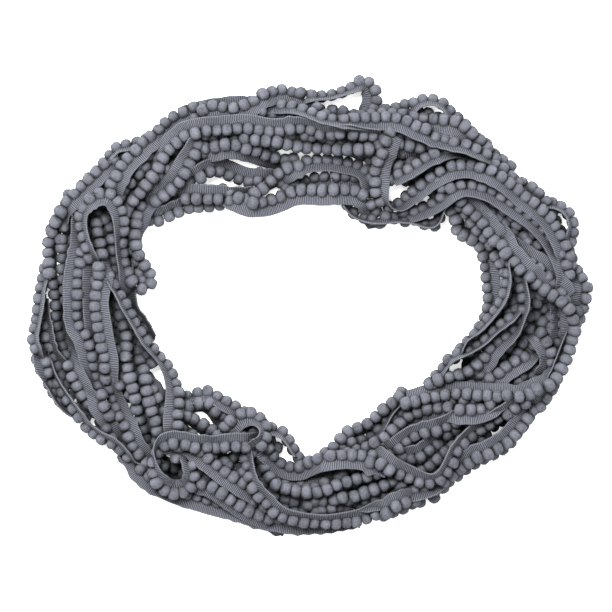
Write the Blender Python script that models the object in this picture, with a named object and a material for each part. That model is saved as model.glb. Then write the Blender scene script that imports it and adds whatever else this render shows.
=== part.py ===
"""Pompom fringe trim wound into a loose hank, lying flat.

Axes: X along the hank's longer way, Y across it, +Z up. The origin is on the surface that the hank
lies on, under the middle of its outline. Sizes are in metres in the mesh and in millimetres in the
tables, which hold what was read off the photograph.

The trim is one length, so the hank is one solid. Its turns lie together as a ring of ridges that
shift around the bundle as they run. The runs that lie on top and the loops that stand off the edges
are swept along their own routes, tape and pompoms at real size, and fused to it.
"""

import math

import bmesh
import bpy
import numpy as np
from mathutils import Vector
from mathutils.bvhtree import BVHTree

MM = 0.001

# The trim, in millimetres
POMPOM_PITCH = 5.1
POMPOM_REACH = 2.45      # from the middle of a 5 mm ball to the corners of the lump that stands for it
NECK_REACH = 0.8         # the same between two pompoms, where the edge draws in
TAPE_REACH = 7.4         # from the pompoms' centre line to the tape's plain edge
TAPE_HALF_THICKNESS = 0.55

# The wound bundle, in millimetres
RIDGES = 9               # turns that show around one cross-section
POINTS_PER_RIDGE = 3
SECTIONS = 54
GROOVE_DEPTH = 2.4
EDGE_INSET = 3.0         # the bundle stays this far inside the outline, for the pompoms that stand proud
WIDEST_AT = 0.42         # height of the bundle's widest place, as a share of its crown
SAG = 3.2                # how far the underside would sink below the floor if it weren't flattened
SWELL = 0.9              # how far single ridges rise and dip along their way
FULLNESS = 0.84          # under 1 makes the oval of a cross-section squarer

# How the top strands sit, in millimetres
PROUD = 1.5              # the pompoms' middle above the ridges that they lie on
TAPE_PROUD = 0.9         # the tape's plain edge above the ridges that it lies on
SUNK = 2.0               # how far a strand's underside goes into the bundle
DEEPEST = 5.4            # the lowest a strand's underside may be, below the pompoms' middle
SETTLE_WINDOW = 3        # stations either way over which a strand bridges the ridges
DIVE = 4.0               # how far a strand's ends go down among the turns
DIVE_STATIONS = 5        # over how many stations they do

# Where the routes below were read: the photograph's scale, and the pixel above the origin
MM_PER_PIXEL = 0.48
CENTRE_PIXEL = (309.0, 306.0)

# One row for each cross-section that was read: its direction from the centre in degrees, counted
# anticlockwise from +X, the inner and outer edges of the band and its crown in millimetres, and how
# many ridges the turns have shifted around the bundle by then.
BAND = (
    # direction, inner, outer, crown, shift
    (0, 86.0, 130.0, 20.5, 0.0),
    (15, 86.0, 129.0, 20.5, -0.4),
    (30, 79.0, 123.5, 21.0, -0.9),
    (45, 60.0, 115.0, 21.0, -1.3),
    (60, 53.0, 109.0, 19.5, -1.6),
    (75, 51.5, 100.0, 18.5, -1.8),
    (90, 50.5, 102.0, 18.5, -1.9),
    (105, 50.0, 105.0, 18.5, -1.8),
    (120, 52.5, 111.0, 19.5, -1.6),
    (135, 66.5, 114.5, 20.5, -1.4),
    (150, 81.0, 123.5, 20.5, -1.2),
    (165, 81.0, 129.5, 20.5, -1.2),
    (180, 82.0, 128.5, 20.0, -1.3),
    (195, 80.0, 127.5, 20.0, -1.5),
    (210, 72.0, 122.0, 20.5, -1.6),
    (225, 60.0, 114.0, 20.5, -1.5),
    (240, 61.0, 110.5, 19.5, -1.2),
    (255, 69.0, 111.5, 18.5, -0.8),
    (270, 71.5, 112.9, 18.0, -0.3),
    (285, 65.0, 110.0, 18.5, 0.2),
    (300, 62.5, 109.5, 19.5, 0.6),
    (315, 61.5, 112.5, 20.0, 0.8),
    (330, 69.5, 118.5, 20.5, 0.7),
    (345, 78.5, 126.5, 20.5, 0.4),
)

# Stray loops that stand off the bundle with the tape on edge: the height of the pompoms' middle in
# millimetres, and their centre line in pixels of the photograph.
LOOPS = {
    "top": (6.5, ((318, 124), (336, 102), (352, 87), (364, 81), (372, 89), (372, 106), (366, 126))),
    "top_right": (7.0, ((400, 132), (412, 108), (427, 101), (440, 107), (450, 132))),
    "right": (7.0, ((526, 214), (553, 206), (566, 216), (571, 236), (552, 262))),
    "right_low": (6.5, ((556, 268), (577, 277), (585, 291), (581, 304), (556, 312))),
    "left": (6.0, ((72, 322), (36, 338), (36, 362), (44, 388), (56, 408), (96, 392))),
    "inner_top": (6.0, ((344, 182), (352, 211), (372, 219), (398, 219), (424, 225), (440, 220), (446, 192))),
    "inner_bottom": (6.0, ((240, 456), (258, 436), (278, 437), (294, 448), (302, 482))),
}

# Strands that lie on the bundle: the side of the pompoms, towards the ring's middle (+1) or away from
# it (-1), that the tape lies on, and the pompoms' centre line in pixels of the photograph.
STRANDS = {
    "left_outer": (1, ((57, 228), (54, 262), (57, 295), (62, 328), (72, 356), (87, 384), (104, 408),
                       (122, 428))),
    "left_middle": (-1, ((90, 240), (87, 270), (87, 300), (93, 328), (103, 352), (112, 376), (124, 398),
                         (138, 418))),
    "left_inner": (1, ((102, 236), (100, 268), (101, 300), (107, 330), (117, 354), (126, 376), (138, 397),
                       (152, 415))),
    "upper_left": (1, ((88, 203), (100, 184), (114, 168), (130, 154), (146, 142))),
    "top_long": (-1, ((190, 139), (208, 134), (236, 131), (265, 129), (295, 131), (325, 136))),
    "top_inner": (1, ((212, 157), (240, 159), (268, 163), (296, 165), (324, 166), (352, 167), (376, 171))),
    "top_outer": (1, ((352, 118), (378, 115), (404, 117), (428, 123), (450, 132), (470, 144), (486, 156))),
    "right_upper": (1, ((412, 189), (430, 176), (450, 169), (470, 169), (489, 177), (506, 190), (521, 205),
                        (534, 221), (544, 238))),
    "right_lower": (-1, ((524, 278), (537, 291), (546, 307), (550, 325), (548, 345), (540, 362))),
    "right_turn": (-1, ((504, 300), (509, 319), (505, 338), (494, 354), (478, 367), (460, 378), (443, 390))),
    "lower_right": (1, ((541, 387), (528, 402), (512, 414), (490, 424), (468, 432), (445, 438), (420, 443))),
    "bottom_right": (1, ((496, 445), (478, 459), (456, 471), (432, 480), (408, 486), (384, 490))),
    "bottom_inner": (-1, ((384, 446), (362, 454), (338, 460), (312, 464), (290, 466))),
    "lower_left": (-1, ((164, 447), (185, 449), (210, 450), (235, 451), (253, 450))),
}


def clear_scene():
    for item in list(bpy.data.objects):
        bpy.data.objects.remove(item)


def fabric(name, colour):
    """A matt yarn finish."""
    material = bpy.data.materials.new(name)
    material.use_nodes = True
    shader = material.node_tree.nodes["Principled BSDF"]
    shader.inputs["Base Color"].default_value = (*colour, 1.0)
    shader.inputs["Roughness"].default_value = 0.95
    shader.inputs["Metallic"].default_value = 0.0
    return material


def make_object(name, vertices, faces, material):
    """A closed mesh of triangles, its faces turned to point out."""
    mesh = bpy.data.meshes.new(name)
    mesh.from_pydata([Vector(v) * MM for v in vertices], [], faces)
    mesh.materials.append(material)
    work = bmesh.new()
    work.from_mesh(mesh)
    bmesh.ops.triangulate(work, faces=work.faces)
    bmesh.ops.recalc_face_normals(work, faces=work.faces)
    work.to_mesh(mesh)
    work.free()
    made = bpy.data.objects.new(name, mesh)
    bpy.context.scene.collection.objects.link(made)
    return made


def catmull_rom(values, share):
    """A smooth value between the middle two of four."""
    before, start, end, after = values
    return 0.5 * (
        2 * start
        + (end - before) * share
        + (2 * before - 5 * start + 4 * end - after) * share**2
        + (3 * start - before - 3 * end + after) * share**3
    )


def around(direction, column):
    """One column of BAND at any direction, eased from row to row round the closed ring."""
    place = direction / BAND[1][0]
    row = int(math.floor(place))
    values = [BAND[(row + k) % len(BAND)][column] for k in (-1, 0, 1, 2)]
    return catmull_rom(values, place - row)


def bundle_outline(inner, outer, crown, samples=240):
    """The plain outline of one cross-section as points (across, up), from the inner side over the top
    and back underneath, with the distance travelled at each."""
    middle, half = (inner + outer) / 2, (outer - inner) / 2 - EDGE_INSET
    widest = WIDEST_AT * crown
    turn = np.linspace(0, 2 * math.pi, samples + 1)
    level, rise = (np.sign(part) * np.abs(part) ** FULLNESS for part in (np.cos(turn), np.sin(turn)))
    across = middle - half * level
    up = widest + rise * np.where(rise > 0, crown - widest, widest + SAG)
    points = np.stack([across, up], axis=1)
    steps = np.linalg.norm(np.diff(points, axis=0), axis=1)
    return points, np.concatenate([[0], np.cumsum(steps)])


def on_outline(outline, share):
    """The point a share of the way along the outline, and the outward direction there."""
    points, travelled = outline

    def at(part):
        place = (part % 1.0) * travelled[-1]
        return np.array([np.interp(place, travelled, points[:, k]) for k in (0, 1)])

    along = at(share + 0.004) - at(share - 0.004)
    along /= np.linalg.norm(along)
    return at(share), np.array([-along[1], along[0]])


def bundle_section(direction):
    """The ridged cross-section at one direction, as points (across, up)."""
    inner, outer, crown, shift = (around(direction, column) for column in (1, 2, 3, 4))
    outline = bundle_outline(inner, outer, crown)
    points = []
    for ridge in range(RIDGES):
        swell = SWELL * math.sin(math.radians((2 + ridge % 3) * direction + 97 * ridge))
        for step in range(POINTS_PER_RIDGE):
            share = (ridge + shift + step / POINTS_PER_RIDGE) / RIDGES
            point, outward = on_outline(outline, share)
            lift = -GROOVE_DEPTH if step == 0 else swell - SWELL
            across, up = point + outward * lift
            points.append((across, max(up, 0.0)))
    return points


def wound_bundle():
    """The closed ring of ridged cross-sections, as vertices and faces in millimetres."""
    size = RIDGES * POINTS_PER_RIDGE
    vertices, faces = [], []
    for number in range(SECTIONS):
        direction = 360.0 * number / SECTIONS
        turn = math.radians(direction)
        for across, up in bundle_section(direction):
            vertices.append(Vector((across * math.cos(turn), across * math.sin(turn), up)))
        here, there = number * size, (number + 1) % SECTIONS * size
        for k in range(size):
            after = (k + 1) % size
            faces.append((here + k, here + after, there + after, there + k))
    return vertices, faces


def to_millimetres(pixel):
    return Vector((
        (pixel[0] - CENTRE_PIXEL[0]) * MM_PER_PIXEL,
        (CENTRE_PIXEL[1] - pixel[1]) * MM_PER_PIXEL,
    ))


def stations_along(pixels):
    """Places half a pompom apart along a smooth line through the route's points, with the level
    direction to the left of travel at each. They start and end at a neck."""
    corners = [to_millimetres(p) for p in pixels]
    ends = [corners[0] * 2 - corners[1], *corners, corners[-1] * 2 - corners[-2]]
    line = [catmull_rom(ends[k:k + 4], part / 12) for k in range(len(corners) - 1) for part in range(12)]
    line.append(corners[-1])
    travelled = [0.0]
    for a, b in zip(line, line[1:]):
        travelled.append(travelled[-1] + (b - a).length)
    pompoms = max(2, round(travelled[-1] / POMPOM_PITCH))
    stops = np.linspace(0, travelled[-1], 2 * pompoms + 1)
    xs = np.interp(stops, travelled, [p.x for p in line])
    ys = np.interp(stops, travelled, [p.y for p in line])
    places = [Vector((x, y)) for x, y in zip(xs, ys)]
    sides = []
    for k in range(len(places)):
        along = (places[min(k + 1, len(places) - 1)] - places[max(k - 1, 0)]).normalized()
        sides.append(Vector((-along.y, along.x)))
    return places, sides


def sweep(rings):
    """Joins rings of points into one closed strip."""
    size = len(rings[0])
    vertices = [point for ring in rings for point in ring]
    faces = []
    for k in range(len(rings) - 1):
        for j in range(size):
            after = (j + 1) % size
            faces.append((k * size + j, k * size + after, (k + 1) * size + after, (k + 1) * size + j))
    last = (len(rings) - 1) * size
    faces.append(tuple(range(size)))
    faces.append(tuple(range(last, last + size)))
    return vertices, faces


def stray_loop(height, pixels):
    """A loop that stands off the bundle, its tape on edge above its pompoms."""
    rings = []
    for number, (place, side) in enumerate(zip(*stations_along(pixels))):
        reach = POMPOM_REACH if number % 2 else NECK_REACH
        centre = Vector((place.x, place.y, height))
        out = Vector((side.x, side.y, 0))
        up = Vector((0, 0, 1))
        rings.append((
            centre - up * reach,
            centre + out * reach,
            centre + up * TAPE_REACH + out * TAPE_HALF_THICKNESS,
            centre + up * TAPE_REACH - out * TAPE_HALF_THICKNESS,
            centre - out * reach,
        ))
    return sweep(rings)


def top_of(tree, place):
    """The height of the highest surface at a place, or 0 off the bundle."""
    hit = tree.ray_cast(Vector((place.x, place.y, 100)), Vector((0, 0, -1)))[0]
    return hit.z if hit else 0.0


def settle(heights):
    """Levels out a line of least heights without going under any of them."""
    def spread(values, choose):
        parts = [values[max(0, k - SETTLE_WINDOW):k + SETTLE_WINDOW + 1] for k in range(len(values))]
        return [choose(part) for part in parts]

    return spread(spread(heights, max), lambda part: sum(part) / len(part))


def laid_strand(tree, towards_middle, pixels):
    """A strand that follows its route over the bundle, its underside sunk into it."""
    places, sides = stations_along(pixels)
    sides = [side if side.dot(-place) * towards_middle > 0 else -side for place, side in zip(places, sides)]
    pompom_beds, edge_beds, undersides = [], [], []
    for place, side in zip(places, sides):
        near = [top_of(tree, place + side * s) for s in (-1.2, 0.0, 1.2)]
        far = [top_of(tree, place + side * s) for s in (TAPE_REACH - 2, TAPE_REACH - 1, TAPE_REACH)]
        pompom_beds.append(max(near))
        edge_beds.append(max(far))
        undersides.append((min(near), min(far)))
    rings = []
    beds = zip(settle(pompom_beds), settle(edge_beds), undersides)
    for number, (place, side, (near, far, (near_low, far_low))) in enumerate(zip(places, sides, beds)):
        reach = POMPOM_REACH if number % 2 else NECK_REACH
        from_end = min(number, len(places) - 1 - number)
        dive = DIVE * max(0.0, 1 - from_end / DIVE_STATIONS) ** 2
        near, far = near - dive, far - dive
        centre = near + PROUD
        inside, outside = place - side * reach, place + side * TAPE_REACH
        rings.append((
            Vector((inside.x, inside.y, centre)),
            Vector((place.x, place.y, centre + reach)),
            Vector((outside.x, outside.y, far + TAPE_PROUD)),
            Vector((outside.x, outside.y, max(far_low - dive - SUNK, far - DEEPEST))),
            Vector((place.x, place.y, max(near_low - dive - SUNK, centre - DEEPEST))),
        ))
    return sweep(rings)


def fuse(item, others):
    """Fuses other closed objects to this one."""
    for other in others:
        union = item.modifiers.new("fuse_" + other.name, "BOOLEAN")
        union.operation = "UNION"
        union.solver = "EXACT"
        union.object = other
        other.hide_render = True
        other.display_type = "WIRE"


def shade(item):
    item.data.shade_smooth()
    item.data.set_sharp_from_angle(angle=math.radians(40))


def build():
    clear_scene()
    yarn = fabric("grey_yarn", (0.19, 0.19, 0.215))
    bundle_vertices, bundle_faces = wound_bundle()
    hank = make_object("hank", bundle_vertices, bundle_faces, yarn)
    tree = BVHTree.FromPolygons(bundle_vertices, bundle_faces)
    added = []
    for name, (height, route) in LOOPS.items():
        added.append(make_object(f"loop_{name}", *stray_loop(height, route), yarn))
    for name, (towards_middle, route) in STRANDS.items():
        added.append(make_object(f"strand_{name}", *laid_strand(tree, towards_middle, route), yarn))
    shade(hank)
    fuse(hank, added)


build()
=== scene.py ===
import math

import bmesh
import bpy
import numpy as np
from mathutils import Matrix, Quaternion, Vector


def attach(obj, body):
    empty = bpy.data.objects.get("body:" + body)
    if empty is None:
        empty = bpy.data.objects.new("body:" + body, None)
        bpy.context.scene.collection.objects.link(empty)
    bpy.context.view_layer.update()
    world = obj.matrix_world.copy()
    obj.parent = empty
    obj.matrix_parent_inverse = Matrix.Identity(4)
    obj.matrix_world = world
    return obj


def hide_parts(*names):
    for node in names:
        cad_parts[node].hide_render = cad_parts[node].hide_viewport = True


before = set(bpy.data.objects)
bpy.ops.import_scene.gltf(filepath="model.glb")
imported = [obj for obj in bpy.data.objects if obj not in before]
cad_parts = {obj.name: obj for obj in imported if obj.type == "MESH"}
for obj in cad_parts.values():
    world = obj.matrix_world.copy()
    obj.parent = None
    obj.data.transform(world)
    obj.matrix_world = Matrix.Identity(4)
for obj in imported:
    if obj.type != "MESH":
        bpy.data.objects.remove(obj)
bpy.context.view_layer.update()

# A loose hank of pompom fringe trim, photographed from straight above on white. It is laid the way the real
# one is wound: runs of one trim, a narrow ribbed tape with small yarn pompoms along one edge, lie over,
# beside and under each other round an oval ring. The runs that show follow routes read off the photograph,
# and plain turns fill the bundle under them. All of them are let down onto each other until they rest, and
# only then are the tape and the pompoms made.

mm = 0.001

# The trim, in millimetres; distances across it are from the pompoms' middle
trim = {
    "pitch": 5.05,  # from one pompom to the next
    "pompomRadius": 3.1,
    "tapeStart": 0.8,  # the tape's inner edge, inside the pompoms
    "tapeEnd": 7.2,  # its plain edge
}
halfPitch = trim["pitch"] / 2  # stations lie this far apart, on each pompom and on each neck between two

# The photograph's scale, its width in pixels and the pixel over the origin
photo = {"mmPerPixel": 0.48, "width": 612, "centre": (309.0, 306.0)}

# The ring's inner and outer edges by direction, in millimetres, anticlockwise from +X, and the degrees
# between two directions
bandStep = 15.0
bandInner = (86, 86, 79, 60, 53, 51.5, 50.5, 50, 52.5, 66.5, 81, 81, 82, 80, 72, 60, 61, 69, 71.5, 65, 62.5,
             61.5, 69.5, 78.5)
bandOuter = (130, 129, 123.5, 115, 109, 100, 102, 105, 111, 114.5, 123.5, 129.5, 128.5, 127.5, 122, 114,
             110.5, 111.5, 112.9, 110, 109.5, 112.5, 118.5, 126.5)

# The plain turns under the others; their place across the band is 0 at its inner edge and 1 at its outer one,
# and it wanders this far in so many waves
hiddenTurns = (
    # level, place, wander, waves, side of the tape
    (0, 0.20, 0.05, 3, "out"),
    (0, 0.44, 0.06, 2, "out"),
    (0, 0.66, 0.06, 3, "in"),
    (0, 0.86, 0.03, 4, "in"),
    (1, 0.30, 0.08, 2, "in"),
    (1, 0.55, 0.07, 3, "out"),
    (1, 0.78, 0.05, 2, "in"),
)

# Where the plain turns keep further off the ring's edges, so that what is loose there stays open, in degrees
# and millimetres
hiddenKeptOff = (
    # direction, width, from the inner edge, from the outer edge, lowest level that it holds for
    (92, 32, 23, 0, 0),
    (128, 12, 20, 0, 0),
    (165, 24, 3, 0, 0),
    (208, 26, 3, 20, 0),
    (231, 14, 22, 0, 0),
    (262, 18, 4, 0, 0),
    (333, 14, 8, 0, 0),
    (345, 14, -8, 24, 1),
)

# The runs that show: level, the side that the tape lies on (towards the ring's middle or out from it, or
# to the right or left of the way the run goes in the picture), the tape's roll in degrees (0 flat on that
# side, 90 on edge with its plain edge up, -90 with it down, 180 flat on the other side), and the pompoms'
# centre line in pixels; several levels or rolls are spread along the run
runs = {
    # down the left side
    "leftRim": (3, "in", (-60, -60, -60, 20, 30, 30), ((62, 208), (54, 226), (48, 242), (49, 262),
        (53, 285), (54, 308), (56, 333), (63, 353), (72, 372), (82, 392), (94, 412), (108, 434),
        (118, 448))),
    "leftLow": (2, "in", -60, ((63, 232), (61, 246), (61, 258), (62, 275), (64, 290))),
    "leftSecond": (4, "out", 20, ((86, 216), (84, 235), (83, 253), (79, 275), (78, 300), (78, 322),
        (87, 338), (92, 355), (95, 372), (99, 392), (106, 408), (116, 424))),
    "leftBetween": (3, "out", 20, ((98, 254), (97, 270), (96, 288), (96, 306), (99, 330), (104, 350))),
    "leftMain": ((4, 6, 6, 6, 6, 6), "in", (-70, -70, 20, 30, 30, 30, 30, 30), ((98, 228), (99, 240),
        (101, 262), (97, 284), (96, 304), (99, 330), (105, 356), (107, 380), (113, 405), (124, 428),
        (134, 448), (150, 466))),
    "arch": ((5, 7, 7, 7, 6, 6, 5, 4, 4, 4), "right",
        (75, 60, 42, 45, 60, 80, -80, -85, -85, -60, 20, 25, 25), ((92, 262), (84, 240), (80, 218),
        (84, 204), (99, 195), (113, 196), (121, 208), (123, 222), (121, 236), (121, 250), (123, 262),
        (128, 272), (135, 283), (143, 288), (150, 284), (152, 277), (147, 269), (141, 261), (137, 252),
        (134, 242), (133, 231), (134, 221), (138, 210), (146, 199), (158, 190), (171, 178), (184, 168))),
    "shoulder": (6, "out", (60, 40, 10, 5, 5, 10, 20), ((201, 141), (195, 152), (190, 163), (184, 174),
        (176, 184), (166, 193), (155, 200))),
    "archUnder": (1, "in", -60, ((112, 212), (112, 232), (114, 252), (115, 272), (116, 290), (115, 308),
        (117, 326), (121, 344))),
    "leftInnerLow": ((2, 2, 1), "in", 55, ((126, 276), (127, 295), (129, 308), (135, 320), (141, 330))),
    "leftColumn": ((3, 4, 5, 5, 5), "in", -65, ((118, 300), (121, 318), (126, 338), (125, 356), (129, 374),
        (134, 391), (138, 408), (142, 427), (146, 444), (156, 458))),
    "leftColumnInner": (3, "out", -60, ((135, 345), (140, 362), (146, 378), (148, 396), (152, 412),
        (158, 426), (160, 442))),
    "innerDiagonalUnder": (1, "out", -60, ((140, 339), (145, 349))),
    "archHollow": (0, "out", -60, ((132, 244), (134, 256), (137, 267))),
    "innerDiagonal": (6, "out", (80, 82, 80, 60, 30, 20, 20), ((118, 290), (128, 312), (138, 332),
        (148, 347), (160, 360), (170, 370), (177, 383), (179, 398), (178, 414), (178, 430), (177, 442))),
    "looseRim": (3, "in", 75, ((42, 284), (40, 296), (38, 312), (35, 326), (31, 340), (36, 354))),
    "looseInner": (2, "in", 55, ((42, 312), (44, 325), (45, 338), (47, 350), (54, 360), (58, 372),
        (66, 384), (78, 396))),
    "looseLoop": (2, "out", 60, ((42, 346), (45, 362), (48, 376), (52, 389), (58, 400), (67, 407),
        (79, 408))),
    "looseLow": (3, "in", 75, ((48, 370), (54, 382), (63, 395), (73, 408), (84, 423), (92, 431), (100, 438),
        (113, 443), (123, 451), (131, 460), (140, 468), (150, 478))),
    # over the upper left shoulder
    "shoulderRim": (3, "in", 35, ((58, 216), (66, 203), (80, 190), (92, 178), (104, 166), (118, 157))),
    "shoulderEdge": (1, "in", 75, ((92, 174), (104, 162), (117, 149), (131, 146), (146, 139))),
    "shoulderOuter": (4, "in", 20, ((110, 190), (117, 174), (128, 159), (140, 147), (154, 133), (168, 121),
        (184, 113), (197, 108), (210, 108), (224, 110))),
    # along the top
    "topLong": (6, "out", (-65, -65, -40, 20, 20, 20, 30, 50, 60, 60), ((143, 189), (150, 181), (157, 172),
        (164, 156), (178, 143), (197, 132), (226, 130), (248, 128), (265, 131), (282, 132), (298, 129),
        (311, 129), (324, 135), (346, 133), (368, 135))),
    "topSecond": ((3, 5, 6, 6, 6, 6, 6), "in", (40, 75, 65, 25, 35, 65, 65), ((266, 104), (282, 106),
        (299, 108), (318, 115), (338, 120), (357, 119), (379, 119), (402, 121), (424, 130), (445, 138),
        (465, 145), (482, 154), (497, 165))),
    "topOuter": (5, "in", 25, ((192, 122), (203, 112), (214, 107), (231, 109), (248, 103), (265, 94),
        (284, 90), (300, 97), (313, 107))),
    "topHump": (3, "out", 0, ((194, 118), (212, 112), (232, 110), (252, 112), (272, 116))),
    "topRim": (3, "in", 35, ((350, 116), (368, 109), (388, 108), (407, 109), (425, 114), (442, 121))),
    "topShelf": (5, "in", 25, ((356, 118), (378, 114), (400, 115), (421, 119), (440, 120), (459, 124),
        (474, 137), (488, 150), (502, 163))),
    "loopTop": ((4, 5, 6, 6, 6, 5, 3), "right", (70, 75, 75, 75, 70, 40, 15, 15, 20), ((288, 108),
        (302, 100), (316, 96), (336, 92), (350, 88), (363, 79), (374, 88), (375, 103), (369, 120))),
    "loopTopRight": (4, "in", 70, ((402, 114), (416, 102), (430, 99), (442, 103), (449, 110), (457, 116),
        (464, 122), (471, 130), (480, 139))),
    "topThird": (3, "out", (-60, -60, -60, -60, -60, -70, -120, -155, -160, -160), ((240, 141), (258, 140),
        (275, 142), (295, 146), (315, 148), (340, 149), (365, 149), (385, 144), (402, 143), (420, 147))),
    "topFourth": (3, "in", (-10, -20, -20, -40), ((200, 150), (212, 147), (233, 145), (251, 149),
        (267, 155), (280, 158))),
    "topFourthOn": (5, "in", (-75, -75, -50, 30, 35, 35, 35, 35, 40, 40), ((258, 190), (268, 182),
        (277, 175), (290, 166), (305, 161), (320, 160), (338, 160), (356, 163), (368, 172), (374, 184))),
    "topWavy": (6, "out", (60, 30, 15, 15, 15, 20), ((194, 178), (205, 172), (216, 170), (226, 174),
        (236, 179), (247, 182), (259, 183), (270, 183))),
    "topInnerDark": (2, "out", 25, ((172, 206), (185, 199), (200, 198), (220, 198), (240, 199))),
    "topInnerRim": (1, "out", 45, ((163, 214), (178, 208), (190, 206), (206, 206), (222, 204), (240, 203))),
    "topInnerEdge": (4, "in", 0, ((236, 196), (247, 202), (262, 202), (280, 196), (298, 191), (320, 190),
        (345, 190), (362, 193), (371, 201), (376, 212))),
    "topInnerLow": (2, "in", 25, ((300, 182), (315, 178), (331, 177), (345, 176), (360, 178))),
    "loopInner": (2, "in", 75, ((341, 190), (347, 204), (354, 213), (368, 219), (385, 218), (405, 218),
        (420, 222), (431, 226), (440, 222), (440, 210), (446, 198))),
    # the right shoulder
    "rightFirst": (5, "in", 55, ((404, 172), (418, 166), (430, 158), (443, 152), (458, 150), (474, 154),
        (490, 159), (503, 168), (514, 180))),
    "foldRight": (8, "left",
        (0, 0, 0, 10, 60, 100, 140, 150, 145, 145, 145, 145, 145, 145, 145, 145, 145, 145), ((383, 146),
        (378, 159), (375, 173), (375, 188), (379, 200), (387, 206), (396, 205), (404, 198), (412, 191),
        (427, 181), (446, 171), (462, 166), (480, 168), (500, 178), (516, 190), (533, 204), (548, 217),
        (560, 236), (566, 250))),
    "rightThird": (6, "in", 40, ((418, 208), (430, 203), (443, 196), (451, 190), (462, 187), (474, 188),
        (497, 194), (515, 205), (533, 219), (549, 236), (560, 253), (566, 270), (569, 286))),
    "rightFourth": (7, "out", 0, ((450, 190), (460, 198), (467, 206), (475, 214), (483, 223), (491, 233),
        (502, 245), (519, 257), (535, 265), (548, 275), (557, 288))),
    "rightFifth": ((8, 8, 8, 8, 7, 6, 6, 6, 6, 6, 6, 6, 6, 6, 6), "left",
        (20, 20, 20, 15, 10, -50, -110, -150, -150, -130, -130, -145, -150, -150, -150, -150, -150, -150),
        ((500, 240), (505, 250), (512, 258), (518, 266), (525, 274), (533, 282), (543, 289), (552, 295),
        (561, 301), (568, 309), (573, 320), (574, 332), (572, 344), (569, 354), (563, 366), (555, 379),
        (543, 388), (531, 393), (519, 396), (499, 397), (476, 396), (455, 395), (436, 397), (420, 400))),
    "rightRim": (3, "in", 35, ((526, 186), (536, 193), (549, 205), (554, 215), (558, 226), (562, 236),
        (566, 246), (571, 256), (576, 267), (583, 280), (585, 292), (582, 304))),
    "loopRight": (4, "in", 75, ((546, 203), (558, 206), (567, 211), (573, 221), (573, 233), (568, 247))),
    # down the right side
    "rightInnerRim": (2, "out", (-60, -60, -50, 20, 30, 30, 30), ((450, 205), (455, 220), (456, 233),
        (466, 238), (478, 244), (484, 256), (486, 272), (488, 288), (490, 304), (486, 318), (478, 332),
        (468, 344))),
    "rightInnerUnder": (2, "out", -60, ((458, 200), (466, 214), (474, 227), (485, 238), (494, 250))),
    "rightUnder": (1, "out", -60, ((503, 246), (506, 262), (507, 278), (508, 294), (506, 310))),
    "rightSixth": ((6, 7, 7, 7, 6, 6), "out", (80, 75, 60, 35, 20, -20, -60, -60, -60), ((522, 284),
        (524, 298), (521, 314), (515, 327), (506, 336), (496, 344), (487, 352), (480, 361), (471, 369),
        (459, 375), (446, 379), (434, 384), (426, 389))),
    "rightSeventh": (4, "out", 86, ((511, 258), (510, 272), (508, 287), (504, 302), (494, 315), (482, 327),
        (471, 339), (461, 350))),
    "rightSeventhOn": (5, "out", 82, ((521, 294), (516, 311), (504, 322), (492, 334), (480, 345),
        (466, 352), (452, 357), (446, 366), (436, 376))),
    "rightRimLow": (2, "in", 60, ((579, 306), (577, 330), (569, 349), (564, 359), (559, 370), (551, 387),
        (541, 401), (530, 411), (522, 419))),
    "rightHollowWall": (1, "in", 30, ((561, 298), (563, 314), (563, 330), (561, 346), (556, 360))),
    "rightHollow": (1, "out", 30, ((534, 346), (527, 357), (514, 364), (503, 370), (493, 377), (482, 382),
        (470, 386))),
    "rightHollowEdge": (2, "right", 30, ((536, 330), (545, 341), (551, 353), (552, 366), (546, 378))),
    # along the bottom, from the right
    "bottomTenth": (5, "out", (30, 20, 0, -40, -60, -60), ((494, 402), (478, 410), (462, 410), (444, 408),
        (426, 410), (410, 417), (396, 429), (385, 438), (370, 447), (352, 450), (336, 455))),
    "bottomFill": (1, "in", -40, ((500, 394), (480, 400), (460, 402), (440, 402), (422, 404), (406, 410),
        (394, 420))),
    "innerRimLow": (3, "out", -60, ((330, 452), (338, 443), (345, 434), (352, 429), (361, 427), (369, 423),
        (377, 416), (384, 409), (392, 403))),
    "innerRimUnder": (2, "out", (-60, -60, 60, 75, 75), ((338, 452), (350, 443), (362, 438), (373, 433),
        (382, 425), (388, 414), (394, 406))),
    "bottomEleventh": (3, "in", 35, ((480, 413), (462, 422), (446, 427), (430, 433), (413, 437), (398, 449),
        (386, 458))),
    "bottomUnder": (2, "in", 35, ((452, 438), (437, 445), (424, 453), (410, 458), (396, 462))),
    "bottomTwelfth": (7, "in", (55, 35, 60, 65, 25, 25), ((510, 409), (503, 413), (495, 421), (485, 428),
        (474, 436), (463, 446), (453, 459), (445, 471), (436, 480), (424, 482), (413, 479), (402, 475),
        (392, 471), (381, 464))),
    "bottomThirteenth": (5, "in", 30, ((530, 414), (522, 425), (514, 435), (500, 445), (486, 453),
        (472, 461), (460, 469), (447, 479), (436, 489))),
    "bottomRim": (2, "in", 65, ((545, 396), (538, 405), (526, 418), (514, 440), (500, 451), (480, 461),
        (465, 470), (449, 482), (433, 493), (417, 502), (398, 510))),
    "bottomMiddle": (4, "out", 45, ((468, 452), (456, 463), (445, 474), (434, 484), (420, 490), (404, 491),
        (388, 495), (370, 500))),
    "bottomFront": (6, "in", (65, 65, 45, 60, 60, 25, 25), ((245, 452), (248, 466), (250, 481), (255, 491),
        (262, 500), (271, 510), (284, 517), (300, 520), (317, 521), (339, 521), (360, 520), (376, 515),
        (391, 510), (406, 504))),
    "bottomSecond": (3, "out", -60, ((264, 464), (270, 480), (279, 487), (299, 491), (320, 491), (340, 484),
        (361, 478), (381, 471))),
    "bottomThird": (2, "out", -60, ((318, 500), (338, 499), (358, 495), (377, 487), (398, 480))),
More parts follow.
